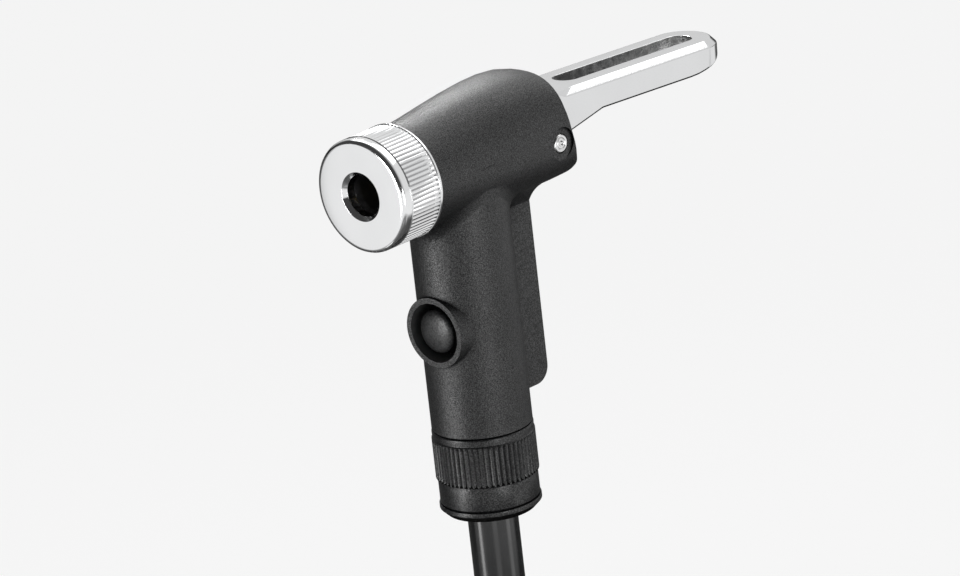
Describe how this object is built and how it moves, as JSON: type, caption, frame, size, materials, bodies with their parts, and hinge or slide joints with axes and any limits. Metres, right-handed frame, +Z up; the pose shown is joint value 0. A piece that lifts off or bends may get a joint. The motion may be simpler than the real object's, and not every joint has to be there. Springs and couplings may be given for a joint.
{
  "type": "lever-lock inflator head with hose",
  "caption": "Handheld inflator head that clamps on a tyre valve with a folding cam lever, with a release button, a grip and a coiled air hose.",
  "frame": {"origin": "on the axis of the valve port, where the port's straight wall starts behind its chamfer", "axes": "-Y out of the valve port, +Y along the raised lever, +Z up along the grip towards the head, +X across the head"},
  "size_m": [0.1443, 0.1446, 0.1854],
  "materials": {
    "moulding": "fine grained black moulding",
    "satin_nut": "satin turned metal",
    "grommet_rubber": "matte",
    "washer_brass": "turned",
    "plunger_metal": "turned",
    "o_ring_rubber": "matte",
    "valve_brass": "turned",
    "follower_steel": "ground",
    "spring_steel": "bright wire",
    "bright_lever": "polished casting",
    "pin_steel": "bright",
    "washer_plastic": "natural nylon",
    "button_plastic": "grained",
    "union_plastic": "satin moulding",
    "tail_brass": "turned",
    "crimp_metal": "satin",
    "hose_rubber": "smooth satin",
    "tie_fabric": "woven strap",
    "end_nut_metal": "nickel plated"
  },
  "bodies": {
    "head": {"housing": "moulding", "valve_nut": "satin_nut", "valve_grommet": "grommet_rubber", "plunger_spring": "spring_steel", "stem_o_ring": "o_ring_rubber", "lever_pin": "pin_steel", "lever_washers": "washer_plastic", "button_spring": "spring_steel", "button_bush": "valve_brass", "union_nut": "union_plastic", "hose_sleeve": "union_plastic", "end_cap": "union_plastic", "hose_tail": "tail_brass", "tail_o_ring": "o_ring_rubber", "hose_crimp": "crimp_metal", "hose_root": "hose_rubber", "hose": "hose_rubber", "hose_coil": "hose_rubber", "coil_tie": "tie_fabric", "end_hose": "hose_rubber", "end_crimp": "crimp_metal", "end_tail": "tail_brass", "end_nut": "end_nut_metal", "end_washer": "o_ring_rubber"},
    "plunger_set": {"plunger": "plunger_metal", "piston_o_ring": "o_ring_rubber", "core_pin": "valve_brass", "cam_follower": "follower_steel", "grommet_washer": "washer_brass"},
    "lever_arm": {"lever": "bright_lever"},
    "button_set": {"release_button": "button_plastic", "button_stem": "valve_brass", "button_seal": "o_ring_rubber"}
  },
  "joints": [
    {"name": "lever_fold", "type": "hinge", "parent": "head", "child": "lever_arm", "pos_m": [0, 0.047, -0.0016], "axis": [-1, 0, 0], "range_deg": [0, 97]},
    {"name": "plunger_slide", "type": "slide", "parent": "head", "child": "plunger_set", "axis": [0, 1, 0], "range_m": [0, 0.0022], "deforming": ["valve_grommet", "plunger_spring"]},
    {"name": "button_press", "type": "slide", "parent": "head", "child": "button_set", "axis": [0, 1, 0], "range_m": [0, 0.0012], "stiffness_N_per_m": 1000, "springref_m": -0.0012, "deforming": ["button_spring"]}
  ],
  "couplings": [
    {"joint": "plunger_slide", "follows": "lever_fold", "m_per_rad": 0.0012994}
  ]
}
